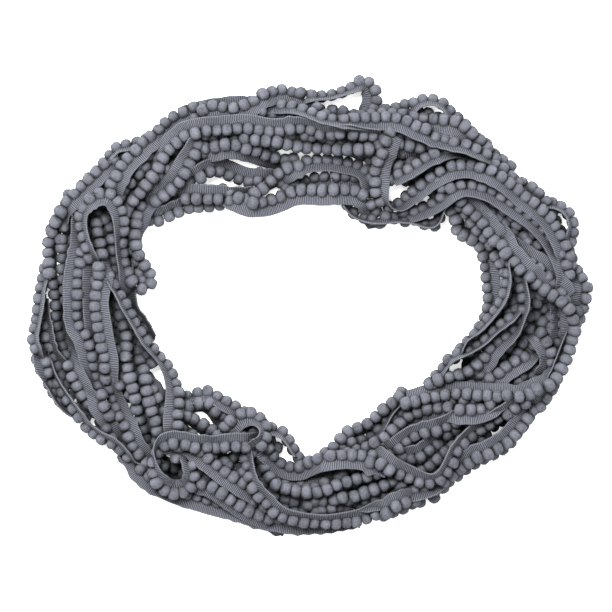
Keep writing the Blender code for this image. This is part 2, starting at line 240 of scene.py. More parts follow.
    "bottomFourth": (6, "out", (30, 25, 25, 25, 25), ((263, 444), (270, 454), (279, 463), (289, 468),
        (299, 467), (310, 462), (326, 457), (345, 455), (363, 457), (377, 461))),
    "bottomEdge": ((3, 3, 2, 2), "out", (20, 5, 0, 0), ((129, 446), (138, 462), (150, 475), (165, 485),
        (183, 492), (203, 498), (222, 504), (240, 508), (262, 514), (285, 518), (305, 520), (325, 519),
        (345, 515))),
    "bottomLeftRibbed": (4, "out", 25, ((196, 448), (205, 456), (213, 463), (222, 470), (231, 476),
        (241, 482), (252, 489))),
    "bottomLeftUnder": (3, "out", -30, ((180, 470), (195, 477), (208, 483), (220, 490), (233, 499),
        (246, 508), (260, 516), (274, 520))),
    "bottomLeftInner": (4, "out", (45, 45, 45, 45, 60, 75, 80), ((182, 399), (197, 395), (208, 392),
        (222, 400), (238, 408), (254, 418), (270, 428), (284, 435), (291, 445))),
    "bottomLeftSecond": (3, "out", (-60, -60, -60, -60, 0, 35, 35), ((184, 409), (196, 404), (208, 403),
        (216, 411), (226, 417), (240, 421), (252, 430))),
    "bottomLeftThird": (2, "out", -60, ((180, 413), (192, 418), (202, 424), (212, 431), (226, 438))),
    # what lies across the lower left
    "across": ((7, 8, 9, 9, 9, 9, 9, 9, 8, 6, 5, 4), "right",
        (30, 30, 30, 30, 30, 30, 60, 100, 130, 155, 160, 140, 115), ((262, 447), (250, 446), (238, 446),
        (223, 447), (202, 448), (182, 446), (168, 444), (158, 449), (154, 460), (154, 474), (160, 486),
        (173, 494), (188, 490), (194, 476), (189, 461))),
    "acrossRight": ((6, 9, 9, 9, 8, 6), "left", (60, 55, 70, 75, 50, 25, 20, 20, 20), ((246, 453),
        (256, 449), (263, 441), (266, 431), (262, 420), (252, 413), (240, 415), (230, 422), (222, 432))),
}


# Routes

# How unevenly the runs are laid, in stations, levels, millimetres and degrees
laying = {
    "endStations": 3,  # stations that a run goes on beyond each end of its route
    "diveStations": 6,  # over how many stations its ends go down
    "dive": 3.5,  # by how many levels
    "stray": (0.35, 60),  # how far it strays sideways, and over what length
    "sway": (5, 45),  # how far its tape's roll sways, and over what length
    "rollLimit": 86,  # a tape that lies on one side rolls no further than this
    "bandMargin": 9,  # plain turns keep this far inside the ring's edges
    "turnRoll": -40,  # the roll of their tape
    "turnSway": (16, 90),
    "turnShift": 1.7,  # radians between the waves of one plain turn and the next
}


# Pixels of the photograph as millimetres from the middle of the ring
def toMillimetres(pixels):
    pixels = np.asarray(pixels, float)
    x = (pixels[:, 0] - photo["centre"][0]) * photo["mmPerPixel"]
    y = (photo["centre"][1] - pixels[:, 1]) * photo["mmPerPixel"]
    return np.stack([x, y], axis=1)


# A Catmull-Rom line through the points; further columns are carried along
def smoothLine(points, closed=False, steps=12):
    points = np.asarray(points, float)
    if closed:
        padded = np.vstack([points[-1:], points, points[:2]])
    else:
        padded = np.vstack([2 * points[0] - points[1], points, 2 * points[-1] - points[-2]])
    t = np.arange(steps)[:, None] / steps
    parts = []
    for a, b, c, d in zip(padded, padded[1:], padded[2:], padded[3:]):
        parts.append(0.5 * (2 * b + (c - a) * t + (2 * a - 5 * b + 4 * c - d) * t ** 2
                            + (3 * b - a - 3 * c + d) * t ** 3))
    parts.append(padded[-2:-1])
    return np.vstack(parts)


# The line again, with its points a step apart in plan; further columns are carried along
def evenly(line, step):
    gaps = np.linalg.norm(np.diff(line[:, :2], axis=0), axis=1)
    along = np.concatenate([[0], np.cumsum(gaps)])
    count = max(int(round(along[-1] / step)), 4)
    at = np.linspace(0, along[-1], count + 1)
    return np.stack([np.interp(at, along, line[:, k]) for k in range(line.shape[1])], axis=1)


# Each row with a length of one
def unit(rows):
    return rows / np.maximum(np.linalg.norm(rows, axis=1, keepdims=True), 1e-9)


# Unit directions along a line
def directions(line):
    return unit(np.gradient(line, axis=0))


# Unit vectors across the line, towards the side that the tape lies on
def sideOf(line, side):
    ahead = directions(line)
    right = np.stack([ahead[:, 1], -ahead[:, 0]], axis=1)
    if side == "right":
        return right
    if side == "left":
        return -right
    towardsMiddle = np.sum(right * -line, axis=1).sum()
    inwards = right if towardsMiddle > 0 else -right
    return inwards if side == "in" else -inwards


# A slow wandering value of about one at each station, for a hand-laid look
def wave(count, length, seed):
    rng = np.random.default_rng(seed)
    at = np.arange(count) * halfPitch
    total = np.zeros(count)
    for k in range(4):
        height = rng.normal()
        turn = 2 * math.pi * at / (length / (1 + 0.7 * k)) + rng.uniform(0, 6.28)
        total += height * np.sin(turn) / (1 + k)
    return total


# One value, or several spread evenly, at each station
def spread(value, count):
    values = np.atleast_1d(np.asarray(value, float))
    return np.interp(np.linspace(0, 1, count), np.linspace(0, 1, len(values)), values)


# A run that shows, with the side of its tape and its roll and level at each station; its ends dive under
# the others, out of sight
def layShown(name, number):
    level, side, roll, pixels = runs[name]
    line = toMillimetres(pixels)
    columns = np.column_stack([line, spread(roll, len(line)), spread(level, len(line))])
    columns = evenly(smoothLine(columns), halfPitch)
    ahead = directions(columns[:, :2])
    ends = laying["endStations"]
    steps = np.arange(1, ends + 1)[:, None] * halfPitch
    before = np.repeat(columns[:1], ends, axis=0)
    before[:, :2] -= ahead[0] * steps[::-1]
    after = np.repeat(columns[-1:], ends, axis=0)
    after[:, :2] += ahead[-1] * steps
    columns = np.vstack([before, columns, after])
    count = len(columns)
    line = columns[:, :2]
    across = sideOf(line, side)
    stray, strayLength = laying["stray"]
    line = line + across * (stray * wave(count, strayLength, 100 + number))[:, None]
    sway, swayLength = laying["sway"]
    limit = laying["rollLimit"]
    swayed = columns[:, 2] + sway * wave(count, swayLength, 300 + number)
    oneSided = np.abs(columns[:, 2]) <= limit - 1
    fromEnd = np.minimum(np.arange(count), np.arange(count)[::-1])
    dive = np.clip(1 - fromEnd / laying["diveStations"], 0, 1) ** 1.2
    return {
        "name": name,
        "line": line,
        "across": across,
        "roll": np.where(oneSided, np.clip(swayed, -limit, limit), swayed),
        "level": columns[:, 3] - laying["dive"] * dive,
        "closed": False,
        "hold": settling["hold"],
        "rollHold": settling["rollHold"],
    }


# A plain turn right round the ring, between its inner and outer edges
def layHidden(number):
    level, place, wander, waves, side = hiddenTurns[number]
    degrees = np.arange(len(bandInner)) * bandStep
    angles = np.radians(degrees)
    inner = np.array(bandInner, float) + laying["bandMargin"]
    outer = np.array(bandOuter, float) - laying["bandMargin"]
    for direction, width, fromInner, fromOuter, lowest in hiddenKeptOff:
        if level < lowest:
            continue
        away = (degrees - direction + 180) % 360 - 180
        share = np.exp(-(away / width) ** 2)
        inner = inner + fromInner * share
        outer = outer - fromOuter * share
    wandering = place + wander * np.sin(waves * angles + laying["turnShift"] * number)
    reach = inner + (outer - inner) * wandering
    ring = np.stack([reach * np.cos(angles), reach * np.sin(angles)], axis=1)
    line = evenly(smoothLine(ring, closed=True), halfPitch)[:-1]
    if len(line) % 2:
        # a whole number of pompoms, so one station more
        line = evenly(np.vstack([line, line[:1]]), halfPitch * len(line) / (len(line) + 1))[:-1]
    count = len(line)
    sway, swayLength = laying["turnSway"]
    return {
        "name": f"turn{number}",
        "line": line,
        "across": sideOf(line, side),
        "roll": np.clip(laying["turnRoll"] + sway * wave(count, swayLength, 500 + number), -80, 80),
        "level": np.full(count, float(level)),
        "closed": True,
        "hold": settling["holdHidden"],
        "rollHold": settling["rollHoldHidden"],
    }


# Letting the runs down onto each other

# A hold of 1 would keep a place or roll exactly, and 0 would leave it free; lengths are in millimetres
settling = {
    "levelStep": 5.4,  # between levels to start with
    "lowestStart": 3,  # height of level 0 to start with
    "rounds": 260,
    "falls": ((0.4, 0.48), (0.6, 0.2), (0.8, 0.08), (1.0, 0.03)),  # up to a share of the rounds, by how much
    "hold": 0.22,  # a run that shows, in plan
    "holdHidden": 0.03,
    "rollHold": 0.3,  # its tape's roll
    "rollHoldHidden": 0.08,
    "edgeHold": 0.35,  # the tape's plain edge, on its side in plan
    "pompomStiffness": (0.22, 0.04),  # share of the way to between its neighbours, in height and in plan
    "edgeStiffness": (0.2, 0.12),
    "edgeRounds": 3,  # times that the plain edge is smoothed at the end
    "squash": 0.83,  # pompoms press together to this share of their radius
    "neckRadius": 0.9,  # between two pompoms
    "tapeRadius": 0.6,
    "tapeShare": 0.6,  # where the tape touches, besides at its plain edge, as a share of the way
    "steepest": 0.98,  # most that the tape stands up, as a share of its reach
    "margin": 1.2,  # pairs are watched from this far before they touch
    "watchRounds": 6,  # rounds between two searches for pairs
    "ownStations": 4,  # nearer stations of one run don't touch each other
    "otherLevel": 0.4,  # levels this far apart stay one over the other
    "lift": 0.45,  # at least this share of their radii apart in height
    "fullPushes": 1.5,  # of many pushes on one point, as many as this count in full
    "pompomFloor": 0.94,  # lowest height of a pompom, as a share of its radius
    "neckFloor": 1.0,
    "edgeFloor": 0.55,
    "standing": (0.6, 0.9),  # a pompom's height over tape that stands on its edge: plus, share of rise
}


# All stations of all runs in one set of arrays
def gather(laid):
    counts = [len(run["line"]) for run in laid]
    starts = np.cumsum([0] + counts)
    every = {key: np.concatenate([run[key] for run in laid]) for key in ("line", "across", "roll", "level")}
    for key in ("hold", "rollHold"):
        every[key] = np.repeat([run[key] for run in laid], counts)
    every["run"] = np.repeat(np.arange(len(laid)), counts)
    every["station"] = np.concatenate([np.arange(count) for count in counts])
    every["isPompom"] = every["station"] % 2 == 0
    every["before"] = np.arange(starts[-1]) - 1
    every["after"] = np.arange(starts[-1]) + 1
    for run, start, end in zip(laid, starts, starts[1:]):
        run["stations"] = slice(start, end)
        every["before"][start] = end - 1 if run["closed"] else start
        every["after"][end - 1] = start if run["closed"] else end - 1
    return every


# All pairs of points nearer than reach, found by sorting the points into cubes of that size
def closePairs(points, reach):
    shift = 64  # keeps the cubes' numbers above 0
    cubesAcross = 4096
    cells = np.floor(points / reach).astype(np.int64) + shift
    key = (cells[:, 0] * cubesAcross + cells[:, 1]) * cubesAcross + cells[:, 2]
    order = np.argsort(key, kind="stable")
    ordered = key[order]
    near = (-1, 0, 1)
    offsets = [(a * cubesAcross + b) * cubesAcross + c for a in near for b in near for c in near]
    firsts = []
    seconds = []
    for offset in (o for o in offsets if o >= 0):
        low = np.searchsorted(ordered, ordered + offset, "left")
        high = np.searchsorted(ordered, ordered + offset, "right")
        if offset == 0:
            low = np.maximum(low, np.arange(len(ordered)) + 1)
        many = np.maximum(high - low, 0)
        total = int(many.sum())
        if not total:
            continue
        first = np.repeat(np.arange(len(ordered)), many)
        within = np.arange(total) - np.repeat(np.cumsum(many) - many, many)
        firsts.append(order[first])
        seconds.append(order[np.repeat(low, many) + within])
    first = np.concatenate(firsts)
    second = np.concatenate(seconds)
    gap = points[first] - points[second]
    touching = np.einsum("ij,ij->i", gap, gap) < reach * reach
    return first[touching], second[touching]


# The pairs of points that touch or soon may, without near ones of the same run
def pairsToWatch(points, radii, runOf, stationOf):
    first, second = closePairs(points, 2 * trim["pompomRadius"] + settling["margin"])
    near = np.abs(stationOf[first] - stationOf[second]) < settling["ownStations"]
    own = (runOf[first] == runOf[second]) & near
    gap = np.linalg.norm(points[first] - points[second], axis=1)
    kept = ~own & (gap < radii[first] + radii[second] + settling["margin"])
    return first[kept], second[kept]


# How far each point is pushed by those that it overlaps; a higher level is always pushed upwards
def pushesOf(points, radii, levels, first, second):
    together = radii[first] + radii[second]
    gap = points[first] - points[second]
    rank = levels[first] - levels[second]
    lift = settling["lift"] * together
    gap[:, 2] = np.where(rank > settling["otherLevel"], np.maximum(gap[:, 2], lift), gap[:, 2])
    gap[:, 2] = np.where(rank < -settling["otherLevel"], np.minimum(gap[:, 2], -lift), gap[:, 2])
    distance = np.maximum(np.linalg.norm(gap, axis=1), 1e-6)
    overlap = np.maximum(together - distance, 0)
    push = gap * (overlap / distance * 0.5)[:, None]
    count = len(points)
    pushes = np.zeros_like(points)
    for axis in range(3):
        pushes[:, axis] = (np.bincount(first, push[:, axis], count)
                           - np.bincount(second, push[:, axis], count))
    hits = overlap > 0
    touches = np.bincount(first[hits], minlength=count) + np.bincount(second[hits], minlength=count)
    full = settling["fullPushes"]
    return pushes * (full / np.maximum(touches, full))[:, None]


# Lowers all runs together until they rest on the floor and on each other, and gives the pompoms' middle and
# the tape's plain edge at each station
def settle(every):
    before = every["before"]
    after = every["after"]
    count = len(every["line"])
    span = trim["tapeEnd"]
    steepest = settling["steepest"] * span
    share = settling["tapeShare"]
    pompoms = np.zeros((count, 3))
    pompoms[:, :2] = every["line"]
    pompoms[:, 2] = every["level"] * settling["levelStep"] + settling["lowestStart"]
    roll = np.radians(every["roll"])
    rise = span * np.sin(roll)
    side = np.where(np.cos(roll) < 0, -1.0, 1.0)
    edges = pompoms.copy()
    edges[:, :2] += every["across"] * (span * np.cos(roll))[:, None]
    edges[:, 2] += rise
    pressed = trim["pompomRadius"] * settling["squash"]
    radii = np.concatenate([np.where(every["isPompom"], pressed, settling["neckRadius"]),
                            np.full(2 * count, settling["tapeRadius"])])
    plus, shareOfRise = settling["standing"]
    floor = np.where(every["isPompom"], trim["pompomRadius"] * settling["pompomFloor"], settling["neckFloor"])
    floor = np.maximum(floor, plus - shareOfRise * rise)
    levels = np.tile(every["level"], 3)
    runOf = np.tile(every["run"], 3)
    stationOf = np.tile(every["station"], 3)
    for k in range(settling["rounds"]):
        fall = next(fall for upTo, fall in settling["falls"] if k < upTo * settling["rounds"])
        pompoms[:, 2] -= fall
        edges[:, 2] -= fall
        for part, stiffness in ((pompoms, "pompomStiffness"), (edges, "edgeStiffness")):
            inHeight, inPlan = settling[stiffness]
            middle = (part[before] + part[after]) / 2
            part[:, 2] += inHeight * (middle[:, 2] - part[:, 2])
            part[:, :2] += inPlan * (middle[:, :2] - part[:, :2])
        pompoms[:, :2] += every["hold"][:, None] * (every["line"] - pompoms[:, :2])
        height = edges[:, 2] - pompoms[:, 2]
        height = np.clip(height + every["rollHold"] * (rise - height), -steepest, steepest)
        edges[:, 2] = pompoms[:, 2] + height
        reach = side * np.sqrt(span ** 2 - height ** 2)
        wanted = pompoms[:, :2] + every["across"] * reach[:, None]
        edges[:, :2] += settling["edgeHold"] * (wanted - edges[:, :2])
        points = np.vstack([pompoms, pompoms + share * (edges - pompoms), edges])
        if k % settling["watchRounds"] == 0:
            first, second = pairsToWatch(points, radii, runOf, stationOf)
        pushes = pushesOf(points, radii, levels, first, second)
        pompoms += pushes[:count] + (1 - share) * pushes[count:2 * count]
        edges += pushes[2 * count:] + share * pushes[count:2 * count]
        pompoms[:, 2] = np.maximum(pompoms[:, 2], floor)
        edges[:, 2] = np.maximum(edges[:, 2], settling["edgeFloor"])
    for _ in range(settling["edgeRounds"]):
        edges = edges / 2 + (edges[before] + edges[after]) / 4
    bar = edges - pompoms
    bar *= span / np.linalg.norm(bar, axis=1, keepdims=True)
    return pompoms, pompoms + bar


laid = [layHidden(k) for k in range(len(hiddenTurns))] + [layShown(name, k) for k, name in enumerate(runs)]
every = gather(laid)
metres = len(every["line"]) * halfPitch / 1000
print(f"laid {len(laid)} runs, {metres:.1f} m of trim", flush=True)
pompoms, edges = settle(every)
print(f"settled, {pompoms[:, 2].max() + trim['pompomRadius']:.1f} mm high", flush=True)


# What meshes and materials share

# Several parts as one; each is points in millimetres, faces and values at its points
def joined(parts):
    starts = np.cumsum([0] + [len(part[0]) for part in parts])
    points = np.vstack([part[0] for part in parts])
    faces = np.vstack([part[1] + start for part, start in zip(parts, starts)])
    values = {key: np.concatenate([part[2][key] for part in parts]) for key in parts[0][2]}
    return points, faces, values


# A smooth piece from such parts; all its faces have the same number of corners, and a value in two columns
# is its map
def meshOf(name, parts, material):
    points, faces, values = joined(parts)
    mesh = bpy.data.meshes.new(name)
    corners = faces.shape[1]
    mesh.vertices.add(len(points))
    mesh.vertices.foreach_set("co", (points * mm).astype(np.float32).ravel())
    mesh.loops.add(len(faces) * corners)
    mesh.loops.foreach_set("vertex_index", faces.astype(np.int32).ravel())
    mesh.polygons.add(len(faces))
    mesh.polygons.foreach_set("loop_start", np.arange(0, len(faces) * corners, corners, dtype=np.int32))
    for key, numbers in values.items():
        numbers = numbers.astype(np.float32)
        if numbers.ndim == 2:
            mesh.uv_layers.new(name=key).data.foreach_set("uv", numbers[faces.ravel()].ravel())
        else:
            mesh.attributes.new(key, "FLOAT", "POINT").data.foreach_set("value", numbers)
    mesh.update(calc_edges=True)
    mesh.validate()
    mesh.shade_smooth()
    mesh.materials.append(material)
    piece = bpy.data.objects.new(name, mesh)
    bpy.context.scene.collection.objects.link(piece)
    return piece


# An sRGB colour such as 85858c as linear red, green, blue and alpha
def linear(hexColour):
    values = [int(hexColour[k:k + 2], 16) / 255 for k in (0, 2, 4)]
    return tuple(v / 12.92 if v <= 0.04045 else ((v + 0.055) / 1.055) ** 2.4 for v in values) + (1.0,)


# The scale of a noise whose spots are this many millimetres across
def scaleFor(size):
    return 1 / (size * mm)


# A material without nodes, and a function that adds one shader node with its settings and inputs; an input
# has its name with _ for a space, or i0, i1 where names repeat, and a node given to it is linked by its
# first output
def newMaterial(name):
    material = bpy.data.materials.new(name)
    material.use_nodes = True
    tree = material.node_tree
    tree.nodes.clear()

    def add(kind, settings=None, **inputs):
        node = tree.nodes.new("ShaderNode" + kind)
        for key, value in (settings or {}).items():
            setattr(node, key, value)
        for key, value in inputs.items():
            numbered = key[0] == "i" and key[1:].isdigit()
            socket = node.inputs[int(key[1:]) if numbered else key.replace("_", " ")]
            if isinstance(value, bpy.types.Node):
                value = value.outputs[0]
            if isinstance(value, bpy.types.NodeSocket):
                tree.links.new(value, socket)
            else:
                socket.default_value = value
        return node

    return material, add


# Painted shade and light, multiplied into the colour: darker in the gaps between runs, where other surfaces
# close in within this reach, and brighter than the own colour where it is open; its reach is in millimetres
paintedGapShade = {"reach": 17, "deepest": 0.17, "open": 1.3}


# A factor on the colour: painted shade in the gaps between runs, painted light where it is open
def paintedShadeAndLight(add):
    shade = add("AmbientOcclusion", {"samples": 8}, Distance=paintedGapShade["reach"] * mm)
    return add("MapRange", Value=shade.outputs["AO"], From_Min=0.2, From_Max=0.97,
               To_Min=paintedGapShade["deepest"], To_Max=paintedGapShade["open"])


# The tape

# Lengths in millimetres, colours as sRGB
ribbon = {
    "stepsPerStation": 2,
    "ribLine": 5.0,  # ribs keep their pitch in bends this far from the pompoms' middle
    "ribPitch": 0.86,
    "ribSway": 0.5,
    "selvedge": 0.5,  # width of the paler edge
    "unevenness": 2.381,  # across the slow changes in the ribs
    "threads": 0.3846,  # real ones are finer and would not show
    "bump": 0.4,
    "colour": "55575e",
    # painted shade in the grooves between the ribs
    "paintedGrooveShade": "1b1c20",
    "edge": "5d5f66",
    "floorGap": 0.05,
}

# Across the tape, from its inner edge to its plain one and back underneath: distance and height
tapeOutline = (
    (trim["tapeStart"], 0.30), (3.2, 0.36), (6.2, 0.36), (6.8, 0.46), (7.15, 0.34),
    (trim["tapeEnd"], -0.20), (6.8, -0.46), (3.2, -0.36), (trim["tapeStart"], -0.30),
)


# The ribbed tape of one run, as points, faces and a map in millimetres along and across it
def tapeOf(run):
    inner = smoothLine(pompoms[run["stations"]], run["closed"], ribbon["stepsPerStation"])
    outer = smoothLine(edges[run["stations"]], run["closed"], ribbon["stepsPerStation"])
    out = unit(outer - inner)
    up = unit(np.cross(directions(inner), out))
    turned = np.where(up[:, 2] < 0, -1, 1).sum() < 0
    if turned:
        up = -up
    outline = np.array(tapeOutline)
    count = len(inner)
    around = len(outline)
    points = inner[:, None] + out[:, None] * outline[None, :, 0:1] + up[:, None] * outline[None, :, 1:2]
    points[:, :, 2] = np.maximum(points[:, :, 2], ribbon["floorGap"])
    middle = inner + out * ribbon["ribLine"]
    along = np.concatenate([[0], np.cumsum(np.linalg.norm(np.diff(middle, axis=0), axis=1))])
    uv = np.stack([np.repeat(along, around), np.tile(outline[:, 0], count)], axis=1)
    row = np.arange(count - 1)[:, None] * around
    here = np.arange(around)[None, :]
    nextOne = (here + 1) % around
    faces = np.stack([row + here, row + nextOne, row + around + nextOne, row + around + here], axis=2)
    faces = faces.reshape(-1, 4)
    return points.reshape(-1, 3), faces if turned else faces[:, ::-1], {"millimetres": uv}


# Polyester tape woven over thick cross threads: it gives grey ribs, a fine grain of threads, a faint shine
# and a slightly paler selvedge; painted shade makes the grooves between the ribs near-black
def tapeMaterial():
    material, add = newMaterial("ribbed_polyester_tape")
    place = add("TexCoord").outputs["Object"]
    parts = add("SeparateXYZ", Vector=add("UVMap", {"uv_map": "millimetres"}))
    uneven = add("TexNoise", Vector=place, Scale=scaleFor(ribbon["unevenness"]), Detail=3.0, Roughness=0.6)
    threads = add("TexNoise", Vector=place, Scale=scaleFor(ribbon["threads"]), Detail=2.0, Roughness=0.7)
    sway = add("Math", {"operation": "MULTIPLY_ADD"}, i0=uneven, i1=ribbon["ribSway"], i2=parts.outputs["X"])
    turn = add("Math", {"operation": "MULTIPLY"}, i0=sway, i1=2 * math.pi / ribbon["ribPitch"])
    rib = add("MapRange", Value=add("Math", {"operation": "SINE"}, i0=turn), From_Min=-1.0, From_Max=1.0)
    edge = add("MapRange", Value=parts.outputs["Y"], From_Min=trim["tapeEnd"] - ribbon["selvedge"],
               From_Max=trim["tapeEnd"], To_Max=0.3)
    # the ribs in the tape's colour, the grooves between them darkened with painted shade
    plain = add("Mix", {"data_type": "RGBA"}, i0=rib, i6=linear(ribbon["paintedGrooveShade"]),
                i7=linear(ribbon["colour"]))
    edged = add("Mix", {"data_type": "RGBA"}, i0=edge, i6=plain.outputs[2], i7=linear(ribbon["edge"]))
    mottle = add("Math", {"operation": "ADD"}, i0=uneven, i1=threads)
    value = add("MapRange", Value=mottle, From_Min=0.6, From_Max=1.4, To_Min=0.84, To_Max=1.14)
    # the tape's random tone, times painted shade in the gaps between runs and painted light where it is open
    darker = add("Math", {"operation": "MULTIPLY"}, i0=value, i1=paintedShadeAndLight(add))
    colour = add("HueSaturation", Value=darker, Color=edged.outputs[2])
    height = add("Math", {"operation": "MULTIPLY_ADD"}, i0=threads, i1=0.5, i2=rib)
    bump = add("Bump", Strength=0.7, Distance=ribbon["bump"] * mm, Height=height)
    surface = add("BsdfPrincipled", Base_Color=colour, Roughness=0.82, Normal=bump, Specular_IOR_Level=0.12,
                  Sheen_Weight=0.02)
    add("OutputMaterial", Surface=surface)
    return material


# The pompoms

# Sizes are on a pompom of radius one unless a line says millimetres; colours as sRGB
yarnBall = {
    "fineForms": 8,  # different ones that show from above
    "plainForms": 6,  # plainer ones that lie under the others
    "fineRoughness": 0.014,
    "plainRoughness": 0.02,
    "lumps": 14,
    "lumpHeight": 0.035,
    "lumpWidth": 0.18,
    "yarnEnds": 90,
    "endWidth": 0.045,  # half of it, at the foot
    "endReach": (1.07, 0.17),  # shortest, and how much longer the longest is
    "sizeSpread": 0.045,
    "squeeze": 0.69,  # half a squeezed pompom's length along the run, as a share of the pitch
    "squeezeStart": 1.15,
    "tufts": 0.909,  # millimetres across the light and dark spots
    "fibres": 0.3125,  # millimetres; real ones are finer and would not show
    "bump": 0.5,  # millimetres
    "floorGap": 0.03,  # millimetres
    "colour": "54565d",
    # the colour of the painted shade between the tufts and deep in the ball, and of the darker spots
    "dark": "2f3035",
}


# A ball of radius one with shaggy lumps, as points and faces
def roundForm(subdivisions, seed, roughness):
    ball = bmesh.new()
    bmesh.ops.create_icosphere(ball, subdivisions=subdivisions, radius=1.0)
    points = np.array([v.co[:] for v in ball.verts])
    faces = np.array([[v.index for v in f.verts] for f in ball.faces])
    ball.free()
    rng = np.random.default_rng(seed)
    swell = np.ones(len(points))
    for _ in range(yarnBall["lumps"]):
        towards = rng.normal(size=3)
        towards /= np.linalg.norm(towards)
        lump = np.exp(-((1 - points @ towards) / yarnBall["lumpWidth"]))
        swell += yarnBall["lumpHeight"] * rng.normal() * lump
    swell += roughness * rng.normal(size=len(points))
    return points * swell[:, None], faces


# Short yarn ends that stand out of a ball of radius one, one thin triangle each
def yarnEndsOf(seed, count):
    rng = np.random.default_rng(seed)
    towards = unit(rng.normal(size=(count, 3)))
    sideways = unit(np.cross(towards, rng.normal(size=(count, 3))))
    lean = 0.35 * np.cross(towards, sideways) * rng.normal(size=(count, 1))
    foot = towards * 0.93
    shortest, longer = yarnBall["endReach"]
    tip = towards * (shortest + longer * rng.random((count, 1))) + lean * 0.3
    width = sideways * yarnBall["endWidth"]
    points = np.stack([foot - width, foot + width, tip], axis=1).reshape(-1, 3)
    return points, np.arange(count * 3).reshape(-1, 3)


# Pompoms at these centres, each of its own form, size, turn and tone, squeezed a little along the run
def pompomsOf(centres, ahead, forms, rng, yarnEnds):
    parts = []
    squeeze = trim["pitch"] * yarnBall["squeeze"]
    which = rng.integers(len(forms), size=len(centres))
    turns = [np.array(Quaternion(q).normalized().to_matrix()) for q in rng.normal(size=(len(centres), 4))]
    sizes = trim["pompomRadius"] * rng.normal(1.0, yarnBall["sizeSpread"], len(centres)).clip(0.88, 1.1)
    tones = rng.normal(size=len(centres)).clip(-2, 2)
    for k, centre in enumerate(centres):
        shapes = [forms[which[k]]]
        if yarnEnds:
            shapes.append(yarnEnds[which[k] % len(yarnEnds)])
        for points, faces in shapes:
            placed = points @ turns[k].T * sizes[k]
            along = placed @ ahead[k]
            squeezed = squeeze * np.tanh(yarnBall["squeezeStart"] * along / squeeze)
            placed = placed + np.outer(squeezed - along, ahead[k]) + centre
            placed[:, 2] = np.maximum(placed[:, 2], yarnBall["floorGap"])
            values = {"tone": np.full(len(points), tones[k]), "reach": np.linalg.norm(points, axis=1)}
            parts.append((placed, faces, values))
    return parts


# Which pompoms show from above: nothing lies over one of nine spots on them; lengths in millimetres
def openFromAbove(centres, everyPoint):
    spotRing = 2.0
    over = 1.2
    clear = 2.2
    angles = np.radians(np.arange(0, 360, 45))
    spots = np.vstack([[0, 0], np.stack([np.cos(angles), np.sin(angles)], axis=1) * spotRing])
    seen = np.ones(len(centres), bool)
    for k, centre in enumerate(centres):
        close = np.abs(everyPoint[:, :2] - centre[:2]).max(axis=1) < spotRing + clear
        above = everyPoint[close & (everyPoint[:, 2] > centre[2] + over)]
        if len(above):
            gaps = np.linalg.norm(above[None, :, :2] - (centre[:2] + spots)[:, None, :], axis=2)
            seen[k] = (gaps.min(axis=1) > clear).any()
    return seen


# Acrylic yarn cut short and brushed up: it gives a matt, tufted ball with next to no shine; painted shade
# makes it dark between the tufts and deeper in the ball, and paler further out, at the yarn's outer ends
def yarnMaterial():
    material, add = newMaterial("brushed_acrylic_yarn")
    place = add("TexCoord").outputs["Object"]
    tufts = add("TexNoise", Vector=place, Scale=scaleFor(yarnBall["tufts"]), Detail=3.0, Roughness=0.7)
    fibres = add("TexNoise", Vector=place, Scale=scaleFor(yarnBall["fibres"]), Detail=2.0, Roughness=0.7)
    tone = add("Attribute", {"attribute_name": "tone"}).outputs["Fac"]
    reach = add("Attribute", {"attribute_name": "reach"}).outputs["Fac"]
    # painted shade: the further in a point lies, between the lumps, the darker, and paler at the yarn ends
    paintedDepthShade = add("MapRange", Value=reach, From_Min=0.88, From_Max=1.14)
    tufted = add("Math", {"operation": "MULTIPLY_ADD"}, i0=tufts, i1=0.9, i2=paintedDepthShade)
    mixed = add("Math", {"operation": "MULTIPLY_ADD"}, i0=fibres, i1=0.45, i2=tufted)
    share = add("MapRange", Value=mixed, From_Min=0.55, From_Max=1.55)
    plain = add("Mix", {"data_type": "RGBA"}, i0=share, i6=linear(yarnBall["dark"]),
                i7=linear(yarnBall["colour"]))
    brighter = add("MapRange", Value=tone, From_Min=-2.0, From_Max=2.0, To_Min=0.90, To_Max=1.10)
    # the pompom's random tone, times painted shade in the gaps between runs and painted light where it is
    # open
    value = add("Math", {"operation": "MULTIPLY"}, i0=brighter, i1=paintedShadeAndLight(add))
    colour = add("HueSaturation", Value=value, Color=plain.outputs[2])
    height = add("Math", {"operation": "MULTIPLY_ADD"}, i0=tufts, i1=1.6, i2=fibres)
    bump = add("Bump", Strength=0.8, Distance=yarnBall["bump"] * mm, Height=height)
    surface = add("BsdfPrincipled", Base_Color=colour, Roughness=0.95, Normal=bump, Specular_IOR_Level=0.05,
                  Sheen_Weight=0.03, Sheen_Roughness=0.6)
    add("OutputMaterial", Surface=surface)
    return material


# Making the pieces

fineForms = [roundForm(3, 11 + k, yarnBall["fineRoughness"]) for k in range(yarnBall["fineForms"])]
plainForms = [roundForm(2, 31 + k, yarnBall["plainRoughness"]) for k in range(yarnBall["plainForms"])]
endForms = [yarnEndsOf(51 + k, yarnBall["yarnEnds"]) for k in range(yarnBall["fineForms"])]

isPompom = every["isPompom"]
everyPoint = np.vstack([pompoms[isPompom], pompoms + settling["tapeShare"] * (edges - pompoms), edges])
seen = np.zeros(len(pompoms), bool)
seen[isPompom] = openFromAbove(pompoms[isPompom], everyPoint)
print(f"{int(isPompom.sum())} pompoms, {int(seen.sum())} open from above", flush=True)

yarn = yarnMaterial()
tapeCloth = tapeMaterial()

